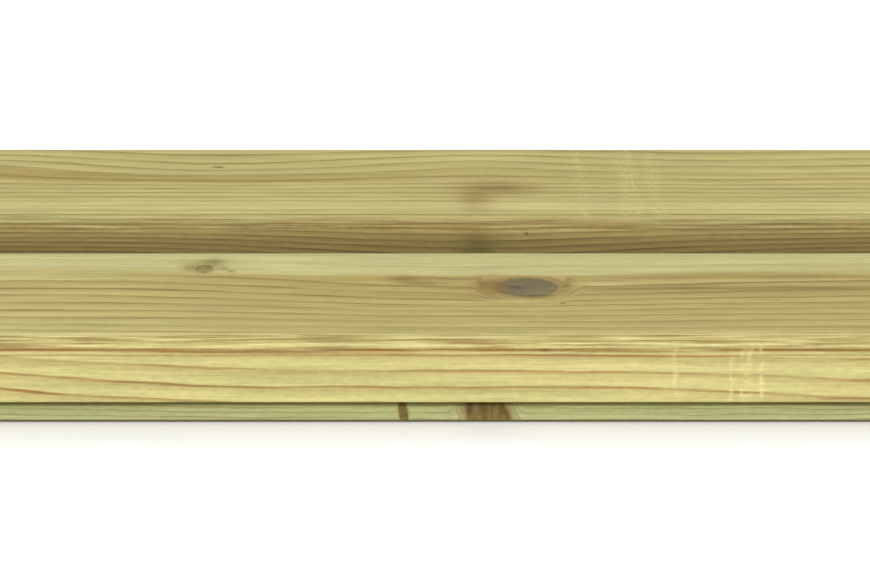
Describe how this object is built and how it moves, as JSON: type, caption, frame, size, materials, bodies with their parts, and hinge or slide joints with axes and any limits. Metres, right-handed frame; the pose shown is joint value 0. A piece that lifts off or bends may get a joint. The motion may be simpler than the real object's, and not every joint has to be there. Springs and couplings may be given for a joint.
{
  "type": "rhombus cladding board",
  "caption": "Pressure-treated pine cladding board moulded into slanted slats with an open shadow gap, grooved on one long edge and tongued on the other.",
  "frame": {"origin": "middle of the board's length and width, on its flat back", "axes": "+X along the board, +Y across it towards the tongue, +Z out of the back through the slat fronts"},
  "size_m": [1.8, 0.1426, 0.027],
  "materials": {
    "treated_pine": "planed and fine-sawn, unpainted, green-tinted by pressure treatment"
  },
  "bodies": {
    "root": {"cladding_board": "treated_pine"}
  },
  "joints": []
}
